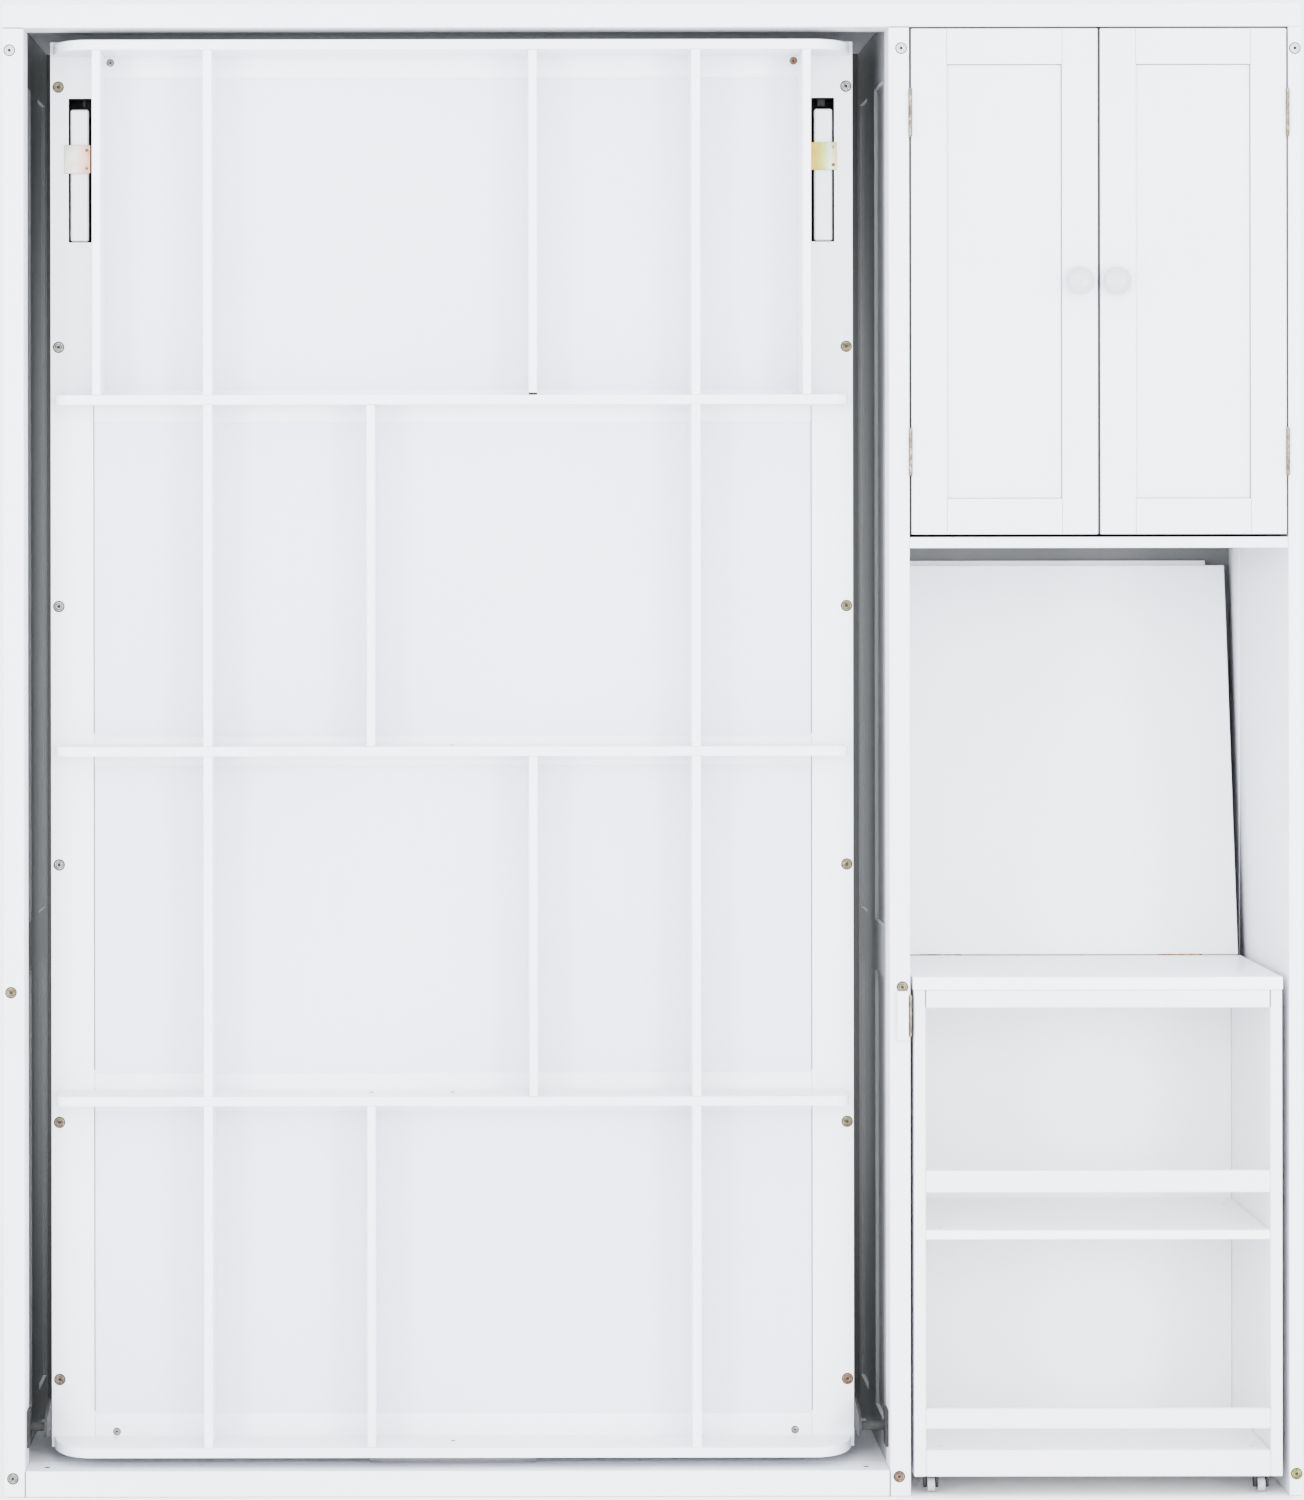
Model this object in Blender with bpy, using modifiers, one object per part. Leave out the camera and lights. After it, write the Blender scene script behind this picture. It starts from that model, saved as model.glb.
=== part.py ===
"""Murphy wall bed with a cupboard and a rolling desk cart.

A white painted cabinet in two bays. The left bay holds a twin bed that stands folded up with its
underside to the front: a flat platform panel, stiffened by a grid of deep ribs, with two fold-out legs.
The right bay has a two-door cupboard on top and an open niche below it, where a cart on four casters
stands with a desk leaf hinged to the back of its top.

Frame: metres, +X to the right, +Z up, the front faces -Y. The origin is on the floor, in the middle of
the overall box. Depths named *_DEPTH are measured backwards from the front plane of the posts.
"""
import math

import bmesh
import bpy
from mathutils import Euler, Vector

# ---------------------------------------------------------------- driving dimensions
WIDTH = 1.818
HEIGHT = 2.090
DEPTH = 0.518
KNOB_LENGTH = 0.026
GAP = 0.0003                      # clearance between pieces that touch
EDGE = 0.0012                     # chamfer on the edges of painted boards
ROUND_STEPS = 32

TOP_RAIL_HEIGHT = 0.0335
ROOF_THICK = 0.018
SIDE_THICK = 0.019
RIGHT_SIDE_THICK = 0.0185
BACK_THICK = 0.006
POST_WIDTH = 0.0295
MID_POST_WIDTH = 0.0287
POST_DEPTH = 0.065
MID_POST_X = 0.3315               # left face of the middle post
WALL_RECESS = 0.005               # depth of the framed fields in the bay's side walls

BASE_HEIGHT = 0.036
BASE_THICK = 0.018
DECK_DEPTH = 0.404
HAND_SLOT_WIDTH = 0.235           # hand hold in the deck's front edge, centred on the bed
HAND_SLOT_DEPTH = 0.045
HAND_SLOT_RADIUS = 0.022

# bed
BED_X = -0.2805
BED_HALF = 0.5712
BED_BOTTOM = 0.0505
BED_TOP = 2.042
PANEL_BOTTOM = 0.0485             # the platform reaches a little past the end ribs
PANEL_TOP = 2.0485
RIB_FRONT_DEPTH = 0.020
PANEL_DEPTH = 0.118               # front face of the platform panel
PANEL_THICK = 0.015
RAIL_HEIGHT = 0.100
RAIL_THICK = 0.018
RAIL_TOP = 2.035
END_RIB_THICK = 0.014
RIB_THICK = 0.013
DIVIDER_THICK = 0.012
INNER_RIB_BOTTOMS = (1.5297, 1.0358, 0.5446)
INNER_RIB_INSET = 0.0135
INNER_RIB_RADIUS = 0.022
END_RIB_INSET = 0.005
END_RIB_CORNER = 0.058            # how far the end ribs' front corners sweep in
LONG_RIB_OFFSET = 0.343
SHORT_RIB_OFFSET = 0.499
MIDDLE_DIVIDER_OFFSET = 0.114

# fold-out legs and their slots
LEG_OFFSET = 0.5295
LEG_WIDTH = 0.0255
LEG_BOTTOM = 1.765
LEG_LENGTH = 0.1876
LEG_PIN_DROP = 0.0186             # pin below the leg's upper end
SLOT_OFFSET = 0.5285
SLOT_WIDTH = 0.033
SLOT_BOTTOM = 1.7634
SLOT_TOP = 1.9683

# bed pivot
PIVOT_DEPTH = 0.050
PIVOT_HEIGHT = 0.090
PIVOT_PIN_RADIUS = 0.006
BRACKET_THICK = 0.0035
ARM_THICK = 0.0038
ARM_END_RADIUS = 0.015
ARM_TOP = 0.122

# cupboard
FLOOR_BOTTOM = 1.3268
FLOOR_TOP = 1.3422
DOOR_BOTTOM = 1.3460
DOOR_TOP = 2.0542
DOOR_THICK = 0.018
DOOR_FRAME = 0.050
DOOR_RECESS = 0.006
LEFT_DOOR_X = (0.3629, 0.6242)
RIGHT_DOOR_X = (0.6273, 0.8883)
DOOR_AXIS_DEPTH = -0.0025
DOOR_AXIS_GAP = 0.0013            # hinge knuckle beside the door's edge
KNOB_HEIGHT = 1.700
KNOB_INSET = 0.027                # from the meeting edge of the door
KNOB_RADIUS = 0.0195

# desk cart
CART_X = (0.364, 0.882)
CART_DEPTH = 0.358
CART_TOP = 0.7263
CART_TOP_THICK = 0.0183
CART_SIDE_THICK = 0.0165
CART_SIDE_INSET = 0.0012
CART_BOTTOM = 0.027
CART_BACK_DEPTH = 0.3363
CART_BOARD = 0.013
APRON_HEIGHT = 0.0247
APRON_THICK = 0.016
CART_SHELF_TOP = 0.3717
SHELF_FENCE_Z = (0.4246, 0.4554)
FLOOR_FENCE_Z = (0.0939, 0.1222)
CART_FLOOR_TOP = 0.064

LEAF_X = (0.368, 0.878)
LEAF_LENGTH = 0.5875
LEAF_THICK = 0.015
LEAF_LEAN = math.radians(12.3)
LEAF_AXIS_DEPTH = 0.3585
LEAF_AXIS_HEIGHT = 0.7268
BATTEN_X = (0.394, 0.852)         # stiffening batten behind the leaf's far end
BATTEN_SPAN = (0.540, 0.598)      # along the leaf, from its hinge
BATTEN_THICK = 0.010

CASTER_X = (0.391, 0.855)
CASTER_DEPTHS = (0.040, 0.318)
CASTER_TRAIL = 0.008              # the wheels trail forwards, as the cart was last pushed in
WHEEL_RADIUS = 0.0107
WHEEL_WIDTH = 0.014
WHEEL_HEIGHT = 0.0110             # axle above the floor

STOP_X = (0.3409, 0.3570)
STOP_Z = (0.6381, 0.7074)
STOP_THICK = 0.0107
STOP_AXIS_X = 0.3599

# ---------------------------------------------------------------- derived places
FRONT_Y = -(DEPTH - KNOB_LENGTH) / 2
HALF = WIDTH / 2
POST_TOP = HEIGHT - TOP_RAIL_HEIGHT - GAP
WALL_TOP = HEIGHT - ROOF_THICK - GAP
BACK_FRONT = DEPTH - BACK_THICK
WALL_BACK = BACK_FRONT - GAP
LEFT_WALL_X = -HALF + SIDE_THICK
RIGHT_WALL_X = HALF - RIGHT_SIDE_THICK
MID_POST_RIGHT = MID_POST_X + MID_POST_WIDTH
MID_WALL_X = MID_POST_X + GAP        # the partition's left face
PANEL_BACK = PANEL_DEPTH + PANEL_THICK
RIB_BACK = PANEL_DEPTH - GAP


def at_depth(depth):
    """World Y of a plane that lies this far behind the posts' front face."""
    return FRONT_Y + depth


# ---------------------------------------------------------------- scene, materials, helpers
def clear_scene():
    for obj in list(bpy.data.objects):
        bpy.data.objects.remove(obj, do_unlink=True)


def new_collection(name):
    collection = bpy.data.collections.new(name)
    bpy.context.scene.collection.children.link(collection)
    return collection


def principled(name, colour, roughness, metallic=0.0):
    material = bpy.data.materials.new(name)
    material.use_nodes = True
    shader = material.node_tree.nodes["Principled BSDF"]
    shader.inputs["Base Color"].default_value = (*colour, 1.0)
    shader.inputs["Roughness"].default_value = roughness
    shader.inputs["Metallic"].default_value = metallic
    material.diffuse_color = (*colour, 1.0)
    return material


clear_scene()
PART = new_collection("murphy_wall_bed")
CUTTERS = new_collection("cutters")
PAINT = principled("white_paint", (0.87, 0.88, 0.90), 0.38)
GREY_STEEL = principled("grey_steel", (0.16, 0.16, 0.165), 0.5)
BLACK = principled("black_plastic", (0.03, 0.03, 0.035), 0.45)
GREY = principled("grey_rubber", (0.32, 0.33, 0.35), 0.7)


def link(name, mesh, material, collection=PART):
    obj = bpy.data.objects.new(name, mesh)
    collection.objects.link(obj)
    if material:
        mesh.materials.append(material)
    return obj


def chamfer(obj, width=EDGE, segments=1, angle=math.radians(50)):
    """Ease the sharp edges of a board."""
    bevel = obj.modifiers.new("eased_edges", "BEVEL")
    bevel.width = width
    bevel.segments = segments
    bevel.limit_method = "ANGLE"
    bevel.angle_limit = angle
    return bevel


def box_mesh(name, size):
    mesh = bpy.data.meshes.new(name)
    shape = bmesh.new()
    bmesh.ops.create_cube(shape, size=1.0)
    bmesh.ops.scale(shape, vec=size, verts=shape.verts)
    shape.to_mesh(mesh)
    shape.free()
    return mesh


def place_box(obj, x, depth, z):
    obj.location = (sum(x) / 2, at_depth(sum(depth) / 2), sum(z) / 2)


def board(name, x, depth, z, material=None, edge=EDGE):
    """A rectangular board between two X, two depths behind the front plane and two heights."""
    size = (x[1] - x[0], depth[1] - depth[0], z[1] - z[0])
    obj = link(name, box_mesh(name, size), material or PAINT)
    place_box(obj, x, depth, z)
    if edge:
        chamfer(obj, edge)
    return obj


def cut_box(obj, name, x, depth, z):
    """Take a box out of a piece with a hidden cutter."""
    size = (x[1] - x[0], depth[1] - depth[0], z[1] - z[0])
    cutter = link(name, box_mesh(name, size), None, CUTTERS)
    place_box(cutter, x, depth, z)
    hide_cutter(cutter)
    add_boolean(obj, cutter, "DIFFERENCE")


def hide_cutter(cutter):
    cutter.hide_render = True
    cutter.display_type = "WIRE"


def add_boolean(obj, other, operation):
    boolean = obj.modifiers.new(other.name, "BOOLEAN")
    boolean.operation = operation
    boolean.solver = "EXACT"
    boolean.object = other


def flat_outline(name, points, thickness, rotation, centre, material=None, edge=EDGE):
    """A flat piece: a closed outline in its own XY plane, as thick as said, turned and placed."""
    curve = bpy.data.curves.new(name, "CURVE")
    curve.dimensions = "2D"
    curve.fill_mode = "BOTH"
    curve.extrude = thickness / 2
    spline = curve.splines.new("POLY")
    spline.points.add(len(points) - 1)
    for point, (u, v) in zip(spline.points, points):
        point.co = (u, v, 0.0, 1.0)
    spline.use_cyclic_u = True
    curve.materials.append(material or PAINT)
    obj = bpy.data.objects.new(name, curve)
    PART.objects.link(obj)
    obj.rotation_euler = Euler(rotation)
    obj.location = centre
    weld = obj.modifiers.new("weld", "WELD")
    weld.merge_threshold = 0.00005
    if edge:
        chamfer(obj, edge)
    return obj


def as_mesh(curve_obj, name):
    """Make a curve piece a welded mesh, so that it can be cut."""
    bpy.context.view_layer.update()
    evaluated = curve_obj.evaluated_get(bpy.context.evaluated_depsgraph_get())
    mesh = bpy.data.meshes.new_from_object(evaluated)
    mesh.name = name
    shape = bmesh.new()
    shape.from_mesh(mesh)
    bmesh.ops.remove_doubles(shape, verts=shape.verts, dist=0.00005)
    shape.to_mesh(mesh)
    shape.free()
    obj = bpy.data.objects.new(name, mesh)
    PART.objects.link(obj)
    obj.matrix_world = curve_obj.matrix_world
    bpy.data.objects.remove(curve_obj, do_unlink=True)
    return obj


FLAT = (0.0, 0.0, 0.0)                                # outline as (X, Y), thickness along Z
UPRIGHT = (math.radians(90), 0.0, math.radians(90))   # outline as (Y, Z), thickness along X


def cylinder(name, radius, length, axis, centre, material, collection=PART, steps=ROUND_STEPS):
    mesh = bpy.data.meshes.new(name)
    shape = bmesh.new()
    bmesh.ops.create_cone(shape, cap_ends=True, segments=steps, radius1=radius, radius2=radius, depth=length)
    shape.to_mesh(mesh)
    shape.free()
    mesh.shade_smooth()
    mesh.set_sharp_from_angle(angle=math.radians(40))
    obj = link(name, mesh, material, collection)
    obj.rotation_euler = Vector(axis).to_track_quat("Z", "Y").to_euler()
    obj.location = centre
    return obj


def turned(name, profile, axis, centre, material, steps=ROUND_STEPS):
    """A turned piece: (radius, height) points from top to bottom, spun about the local Z axis."""
    mesh = bpy.data.meshes.new(name)
    shape = bmesh.new()
    verts = [shape.verts.new((radius, 0.0, height)) for radius, height in profile]
    for first, second in zip(verts, verts[1:]):
        shape.edges.new((first, second))
    shape.to_mesh(mesh)
    shape.free()
    obj = link(name, mesh, material)
    screw = obj.modifiers.new("turn", "SCREW")
    screw.steps = steps
    screw.render_steps = steps
    screw.use_merge_vertices = True
    screw.merge_threshold = 0.0001
    screw.use_smooth_shade = True
    obj.rotation_euler = Vector(axis).to_track_quat("Z", "Y").to_euler()
    obj.location = centre
    return obj


def arc(centre_u, centre_v, radius_u, radius_v, start, end, steps=10):
    """Points along an elliptical quarter, angles in degrees."""
    points = []
    for step in range(steps + 1):
        angle = math.radians(start + (end - start) * step / steps)
        points.append((centre_u + radius_u * math.cos(angle), centre_v + radius_v * math.sin(angle)))
    return points


def empty_at(name, location):
    """A joint's place: moving pieces hang from it."""
    empty = bpy.data.objects.new(name, None)
    empty.empty_display_size = 0.03
    empty.location = location
    PART.objects.link(empty)
    return empty


def hang(parent, *pieces):
    """Parent pieces to an empty and keep them where they are."""
    bpy.context.view_layer.update()
    for piece in pieces:
        piece.parent = parent
        piece.matrix_parent_inverse = parent.matrix_world.inverted()


# ---------------------------------------------------------------- cabinet
def framed_wall(name, x, field_x):
    """A bay's side wall: two frames side by side, each with an upper and a lower recessed field."""
    wall = board(name, x, (POST_DEPTH + GAP, WALL_BACK), (0.0, WALL_TOP))
    columns = ((0.095, 0.234), (0.353, 0.480))
    rows = ((0.088, 0.718), (0.790, 1.990))
    for column, depths in enumerate(columns):
        for row, heights in enumerate(rows):
            cut_box(wall, f"{name}_field_{column}{row}", field_x, depths, heights)
    return wall


def right_side():
    """One deep board; its upper front corner is cut away under the top rail."""
    points = [
        (at_depth(0.0), 0.0),
        (at_depth(WALL_BACK), 0.0),
        (at_depth(WALL_BACK), WALL_TOP),
        (at_depth(POST_DEPTH + GAP), WALL_TOP),
        (at_depth(POST_DEPTH + GAP), POST_TOP),
        (at_depth(0.0), POST_TOP),
    ]
    return flat_outline("right_side_panel", points, RIGHT_SIDE_THICK, UPRIGHT,
                        (HALF - RIGHT_SIDE_THICK / 2, 0.0, 0.0))


def base_deck():
    """The deck behind the base rail, with a round-cornered hand hold in its front edge."""
    left = LEFT_WALL_X + GAP
    right = MID_WALL_X - GAP
    front = at_depth(POST_DEPTH + GAP)
    radius = HAND_SLOT_RADIUS
    slot_back = front + HAND_SLOT_DEPTH
    slot_left = BED_X - HAND_SLOT_WIDTH / 2
    slot_right = BED_X + HAND_SLOT_WIDTH / 2
    points = [(left, front), (slot_left, front)]
    points += arc(slot_left + radius, slot_back - radius, radius, radius, 180, 90, 6)
    points += arc(slot_right - radius, slot_back - radius, radius, radius, 90, 0, 6)
    points += [(slot_right, front), (right, front), (right, at_depth(DECK_DEPTH)), (left, at_depth(DECK_DEPTH))]
    return flat_outline("base_deck", points, BASE_THICK, FLAT, (0.0, 0.0, BASE_HEIGHT - BASE_THICK / 2), edge=None)


def cabinet():
    post_depths = (0.0, POST_DEPTH)
    board("left_front_post", (-HALF, -HALF + POST_WIDTH), post_depths, (0.0, POST_TOP))
    framed_wall("left_side_panel", (-HALF, LEFT_WALL_X), (LEFT_WALL_X - WALL_RECESS, LEFT_WALL_X + 0.01))
    board("mid_front_post", (MID_POST_X, MID_POST_RIGHT), post_depths, (0.0, POST_TOP))
    framed_wall("mid_partition", (MID_WALL_X, MID_POST_RIGHT), (MID_WALL_X - 0.01, MID_WALL_X + WALL_RECESS))
    right_side()
    board("top_rail", (-HALF, HALF), post_depths, (HEIGHT - TOP_RAIL_HEIGHT, HEIGHT))
    board("roof_panel", (-HALF, HALF), (POST_DEPTH + GAP, DEPTH), (HEIGHT - ROOF_THICK, HEIGHT))

    bay_right = MID_POST_X - GAP
    board("base_rail", (-HALF + POST_WIDTH + GAP, bay_right), post_depths, (0.0, BASE_HEIGHT))
    base_deck()
    board("back_panel", (-HALF + GAP, HALF - GAP), (BACK_FRONT, DEPTH), (0.0, WALL_TOP), edge=0.0006)
    inside = (MID_POST_RIGHT + GAP, RIGHT_WALL_X - GAP)
    board("cupboard_floor", inside, (0.0, WALL_BACK), (FLOOR_BOTTOM, FLOOR_TOP))


def pivot_bracket(name, face_x, side):
    """A steel plate on the post's inner face with the stub pin that the bed turns on."""
    bracket = board(name, sorted((face_x, face_x - side * BRACKET_THICK)), (0.026, POST_DEPTH - 0.0005),
                    (0.064, 0.116), GREY_STEEL, edge=None)
    pin_length = abs(face_x - (BED_X + side * BED_HALF)) - 0.0005
    pin_x = face_x - side * pin_length / 2
    pin = cylinder(f"{name}_pin", PIVOT_PIN_RADIUS, pin_length, (1, 0, 0),
                   (pin_x, at_depth(PIVOT_DEPTH), PIVOT_HEIGHT), None, CUTTERS)
    hide_cutter(pin)
    add_boolean(bracket, pin, "UNION")
    return bracket


# ---------------------------------------------------------------- bed
def end_rib(name, bottom):
    """The top or bottom rib: full width, with long rounded front corners."""
    left = BED_X - BED_HALF + END_RIB_INSET
    right = BED_X + BED_HALF - END_RIB_INSET
    reach = RIB_BACK - RIB_FRONT_DEPTH
    points = arc(left + END_RIB_CORNER, at_depth(RIB_BACK), END_RIB_CORNER, reach, 180, 270, 12)
    points += arc(right - END_RIB_CORNER, at_depth(RIB_BACK), END_RIB_CORNER, reach, 270, 360, 12)
    return flat_outline(name, points, END_RIB_THICK, FLAT, (0.0, 0.0, bottom + END_RIB_THICK / 2))


def inner_rib(name, bottom):
    """A cross rib: small front corners, half-lapped from behind where the long ribs pass."""
    left = BED_X - BED_HALF + INNER_RIB_INSET
    right = BED_X + BED_HALF - INNER_RIB_INSET
    front = at_depth(RIB_FRONT_DEPTH)
    back = at_depth(RIB_BACK)
    lap = at_depth((RIB_FRONT_DEPTH + RIB_BACK - GAP) / 2)
    radius = INNER_RIB_RADIUS
    points = [(left, back)]
    points += arc(left + radius, front + radius, radius, radius, 180, 270, 6)
    points += arc(right - radius, front + radius, radius, radius, 270, 360, 6)
    points += [(right, back)]
    for offset in (LONG_RIB_OFFSET, -LONG_RIB_OFFSET):
        half_slot = DIVIDER_THICK / 2 + GAP
        near = BED_X + offset + half_slot
        far = BED_X + offset - half_slot
        points += [(near, back), (near, lap), (far, lap), (far, back)]
    return flat_outline(name, points, RIB_THICK, FLAT, (0.0, 0.0, bottom + RIB_THICK / 2), edge=None)


def long_rib(name, offset, low, high):
    """A full-height rib, half-lapped from the front over every inner cross rib."""
    front = at_depth(RIB_FRONT_DEPTH)
    back = at_depth(RIB_BACK)
    lap = at_depth((RIB_FRONT_DEPTH + RIB_BACK + GAP) / 2)
    points = [(front, low)]
    for bottom in sorted(INNER_RIB_BOTTOMS):
        near = bottom - GAP
        far = bottom + RIB_THICK + GAP
        points += [(front, near), (lap, near), (lap, far), (front, far)]
    points += [(front, high), (back, high), (back, low)]
    return flat_outline(name, points, DIVIDER_THICK, UPRIGHT, (BED_X + offset, 0.0, 0.0), edge=None)


def divider(name, offset, low, high):
    """An upright rib between two cross ribs."""
    x = BED_X + offset
    return board(name, (x - DIVIDER_THICK / 2, x + DIVIDER_THICK / 2), (RIB_FRONT_DEPTH, RIB_BACK), (low, high))


def pivot_arm(name, side):
    """The bed's steel side plate, bored for the pivot pin and tapered up towards the side rail."""
    radius = ARM_END_RADIUS
    outline = arc(at_depth(PIVOT_DEPTH), PIVOT_HEIGHT, radius, radius, 110, 270, 8)
    outline += [(at_depth(0.220), PIVOT_HEIGHT - radius), (at_depth(0.220), ARM_TOP), (at_depth(0.140), ARM_TOP)]
    centre = (BED_X + side * (BED_HALF + GAP + ARM_THICK / 2), 0.0, 0.0)
    arm = as_mesh(flat_outline(f"{name}_outline", outline, ARM_THICK, UPRIGHT, centre, GREY_STEEL, edge=None), name)
    bore = cylinder(f"{name}_bore", PIVOT_PIN_RADIUS + GAP, 3 * ARM_THICK, (1, 0, 0),
                    (centre[0], at_depth(PIVOT_DEPTH), PIVOT_HEIGHT), None, CUTTERS)
    hide_cutter(bore)
    add_boolean(arm, bore, "DIFFERENCE")
    return arm


def bed():
    left = BED_X - BED_HALF
    right = BED_X + BED_HALF
    rail_depths = (PANEL_BACK + GAP, PANEL_BACK + RAIL_HEIGHT)
    platform = board("platform_panel", (left, right), (PANEL_DEPTH, PANEL_BACK), (PANEL_BOTTOM, PANEL_TOP))
    for side, side_name in ((-1, "left"), (1, "right")):
        x = BED_X + side * SLOT_OFFSET
        cut_box(platform, f"{side_name}_slot", (x - SLOT_WIDTH / 2, x + SLOT_WIDTH / 2),
                (PANEL_DEPTH - 0.02, PANEL_BACK + 0.02), (SLOT_BOTTOM, SLOT_TOP))
    inner_left = left + RAIL_THICK
    inner_right = right - RAIL_THICK
    pieces = [platform]
    pieces.append(board("left_side_rail", (left, inner_left), rail_depths, (BED_BOTTOM, RAIL_TOP)))
    pieces.append(board("right_side_rail", (inner_right, right), rail_depths, (BED_BOTTOM, RAIL_TOP)))
    between = (inner_left + GAP, inner_right - GAP)
    pieces.append(board("head_rail", between, rail_depths, (BED_BOTTOM, BED_BOTTOM + RAIL_THICK)))
    pieces.append(board("foot_rail", between, rail_depths, (RAIL_TOP - RAIL_THICK, RAIL_TOP)))

    pieces.append(end_rib("cross_rib_1", BED_TOP - END_RIB_THICK))
    for number, bottom in enumerate(INNER_RIB_BOTTOMS, start=2):
        pieces.append(inner_rib(f"cross_rib_{number}", bottom))
    pieces.append(end_rib("cross_rib_5", BED_BOTTOM))

    # the four rows between the cross ribs, from the top down
    undersides = [BED_TOP - END_RIB_THICK, *INNER_RIB_BOTTOMS]
    upper_faces = [*(bottom + RIB_THICK for bottom in INNER_RIB_BOTTOMS), BED_BOTTOM + END_RIB_THICK]
    rows = [(low + GAP, high - GAP) for low, high in zip(upper_faces, undersides)]
    for side, side_name in ((-1, "left"), (1, "right")):
        pieces.append(long_rib(f"long_rib_{side_name}", side * LONG_RIB_OFFSET, rows[3][0], rows[0][1]))
        pieces.append(divider(f"short_rib_{side_name}", side * SHORT_RIB_OFFSET, *rows[0]))
    for number, row in enumerate(rows, start=1):
        side = 1 if number % 2 else -1
        pieces.append(divider(f"divider_row_{number}", side * MIDDLE_DIVIDER_OFFSET, *row))
    pieces += [pivot_arm("left_pivot_arm", -1), pivot_arm("right_pivot_arm", 1)]

    pivot = empty_at("bed_pivot", (BED_X, at_depth(PIVOT_DEPTH), PIVOT_HEIGHT))
    hang(pivot, *pieces)

    leg_top = LEG_BOTTOM + LEG_LENGTH
    for side, side_name in ((-1, "left"), (1, "right")):
        x = BED_X + side * LEG_OFFSET
        leg = board(f"{side_name}_leg", (x - LEG_WIDTH / 2, x + LEG_WIDTH / 2),
                    (PANEL_DEPTH, PANEL_DEPTH + LEG_WIDTH), (LEG_BOTTOM, leg_top), edge=0.002)
        pin = empty_at(f"{side_name}_leg_pin", (x, at_depth(PANEL_DEPTH + LEG_WIDTH / 2), leg_top - LEG_PIN_DROP))
        hang(pin, leg)
        hang(pivot, pin)


# ---------------------------------------------------------------- cupboard doors
def shaker_door(name, x):
    """A framed door: the field in its front face is set back."""
    door = board(name, x, (0.0, DOOR_THICK), (DOOR_BOTTOM, DOOR_TOP))
    cut_box(door, f"{name}_field", (x[0] + DOOR_FRAME, x[1] - DOOR_FRAME), (-0.01, DOOR_RECESS),
            (DOOR_BOTTOM + DOOR_FRAME, DOOR_TOP - DOOR_FRAME))
    return door


def knob(name, x):
    """A round mushroom knob on a short neck, pointing forwards."""
    neck = 0.0075
    head = KNOB_RADIUS
    profile = [(0.0, KNOB_LENGTH)]
    for step in range(1, 7):
        angle = math.radians(90 * step / 6)
        profile.append((head * math.sin(angle), KNOB_LENGTH - 0.007 * (1 - math.cos(angle))))
    profile += [(head * 0.93, KNOB_LENGTH - 0.0105), (head * 0.62, KNOB_LENGTH - 0.0135), (neck, KNOB_LENGTH - 0.017),
                (neck, 0.003), (0.0105, GAP), (0.0, GAP)]
    return turned(name, profile, (0, -1, 0), (x, at_depth(0.0), KNOB_HEIGHT), PAINT)


def doors():
    left_door = shaker_door("left_door", LEFT_DOOR_X)
    right_door = shaker_door("right_door", RIGHT_DOOR_X)
    left_knob = knob("left_knob", LEFT_DOOR_X[1] - KNOB_INSET)
    right_knob = knob("right_knob", RIGHT_DOOR_X[0] + KNOB_INSET - 0.005)
    middle = (DOOR_BOTTOM + DOOR_TOP) / 2
    axis_y = at_depth(DOOR_AXIS_DEPTH)
    hang(empty_at("left_door_hinge", (LEFT_DOOR_X[0] - DOOR_AXIS_GAP, axis_y, middle)), left_door, left_knob)
    hang(empty_at("right_door_hinge", (RIGHT_DOOR_X[1] + DOOR_AXIS_GAP, axis_y, middle)), right_door, right_knob)


# ---------------------------------------------------------------- desk cart
def cart():
    side_left = CART_X[0] + CART_SIDE_INSET
    side_right = CART_X[1] - CART_SIDE_INSET
    inner = (side_left + CART_SIDE_THICK + GAP, side_right - CART_SIDE_THICK - GAP)
    under_top = CART_TOP - CART_TOP_THICK - GAP
    front = (0.001, CART_BOARD)
    inside = (0.001, CART_BACK_DEPTH - GAP)
    pieces = [
        board("cart_top", CART_X, (0.0, CART_DEPTH), (CART_TOP - CART_TOP_THICK, CART_TOP)),
        board("cart_left_side", (side_left, side_left + CART_SIDE_THICK), (0.001, CART_DEPTH - 0.001),
              (CART_BOTTOM, under_top)),
        board("cart_right_side", (side_right - CART_SIDE_THICK, side_right), (0.001, CART_DEPTH - 0.001),
              (CART_BOTTOM, under_top)),
        board("cart_back", inner, (CART_BACK_DEPTH, CART_BACK_DEPTH + BACK_THICK), (CART_BOTTOM, under_top),
              edge=0.0006),
        board("cart_apron", inner, (0.001, APRON_THICK), (under_top - APRON_HEIGHT, under_top)),
        board("cart_shelf", inner, inside, (CART_SHELF_TOP - CART_BOARD, CART_SHELF_TOP)),
        board("shelf_fence", inner, front, SHELF_FENCE_Z),
        board("cart_floor", inner, (front[1] + GAP, inside[1]), (CART_FLOOR_TOP - CART_BOARD, CART_FLOOR_TOP)),
        board("floor_skirt", inner, front, (CART_BOTTOM, CART_FLOOR_TOP)),
        board("floor_fence", inner, front, FLOOR_FENCE_Z),
    ]
    slide = empty_at("cart_slide", (sum(CART_X) / 2, at_depth(CART_DEPTH / 2), 0.0))
    hang(slide, *pieces)
    desk_leaf(slide)
    for name, x, depth in caster_places():
        caster(name, x, depth, slide)


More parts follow.
